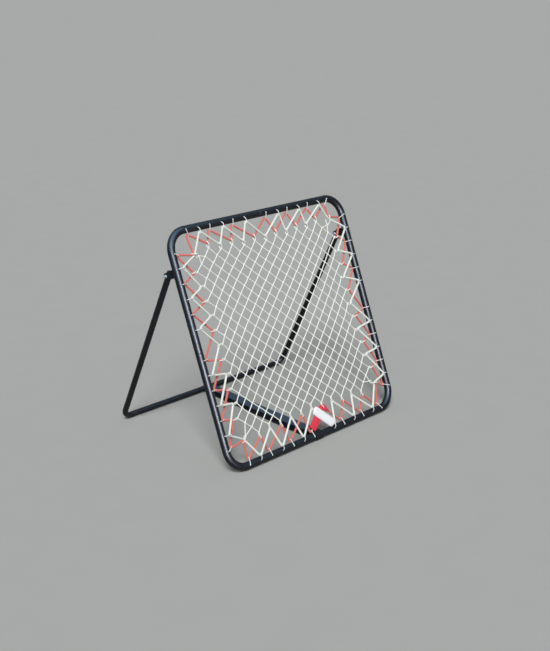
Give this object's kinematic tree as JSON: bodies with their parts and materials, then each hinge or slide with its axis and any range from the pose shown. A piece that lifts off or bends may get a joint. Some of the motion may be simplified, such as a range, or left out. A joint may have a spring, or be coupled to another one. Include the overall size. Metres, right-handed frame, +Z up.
{
  "type": "ball rebounder net",
  "caption": "Square tube frame that leans back on a folding U stand, with a knotted diamond net held in it by elastic cords on wire hooks, and a webbing loop at the ground",
  "frame": {"origin": "middle of the bounding box's lowest face, on the ground", "axes": "+X to the right seen from the front of the net, +Y from the net back to the stand, +Z up"},
  "size_m": [1.0186, 0.76, 0.9285],
  "materials": {
    "frame_tube": "satin black powder coat",
    "stand_tube": "satin black powder coat",
    "bracket": "satin black powder coat",
    "fastener": "zinc plated",
    "dome_nut": "bright plated",
    "bush": "moulded",
    "cap": "moulded",
    "net": "knotted twine",
    "elastic_white": "braided sheath",
    "elastic_red": "braided sheath",
    "sleeve_white": "woven tube",
    "sleeve_red": "woven tube",
    "strap": "woven webbing"
  },
  "bodies": {
    "frame": {"frame_tube_top_left": "frame_tube", "frame_tube_top_right": "frame_tube", "frame_tube_bottom_right": "frame_tube", "frame_tube_bottom_left": "frame_tube", "joint_screw_top": "fastener", "joint_screw_right": "fastener", "joint_screw_bottom": "fastener", "joint_screw_left": "fastener", "net": "net", "elastic_red": "elastic_red", "sleeve_red": "sleeve_red", "elastic_white": "elastic_white", "sleeve_white": "sleeve_white", "pivot_bracket_left": "bracket", "pivot_bolt_left": "fastener", "pivot_nut_left": "dome_nut", "pivot_washer_left_inner": "fastener", "pivot_washer_left_outer": "fastener", "bracket_screw_left_lower": "fastener", "bracket_screw_left_upper": "fastener", "pivot_bracket_right": "bracket", "pivot_bolt_right": "fastener", "pivot_nut_right": "dome_nut", "pivot_washer_right_inner": "fastener", "pivot_washer_right_outer": "fastener", "bracket_screw_right_lower": "fastener", "bracket_screw_right_upper": "fastener", "spreader_strap": "strap"},
    "stand": {"stand_tube_left": "stand_tube", "leg_bush_left": "bush", "leg_cap_left": "cap", "stand_tube_right": "stand_tube", "leg_bush_right": "bush", "leg_cap_right": "cap", "stand_screw": "fastener"}
  },
  "joints": [
    {"name": "stand_fold", "type": "hinge", "parent": "frame", "child": "stand", "pos_m": [0, 0.00581, 0.74394], "axis": [-1, 0, 0], "range_deg": [0, 48.6], "deforming": ["spreader_strap"]}
  ]
}
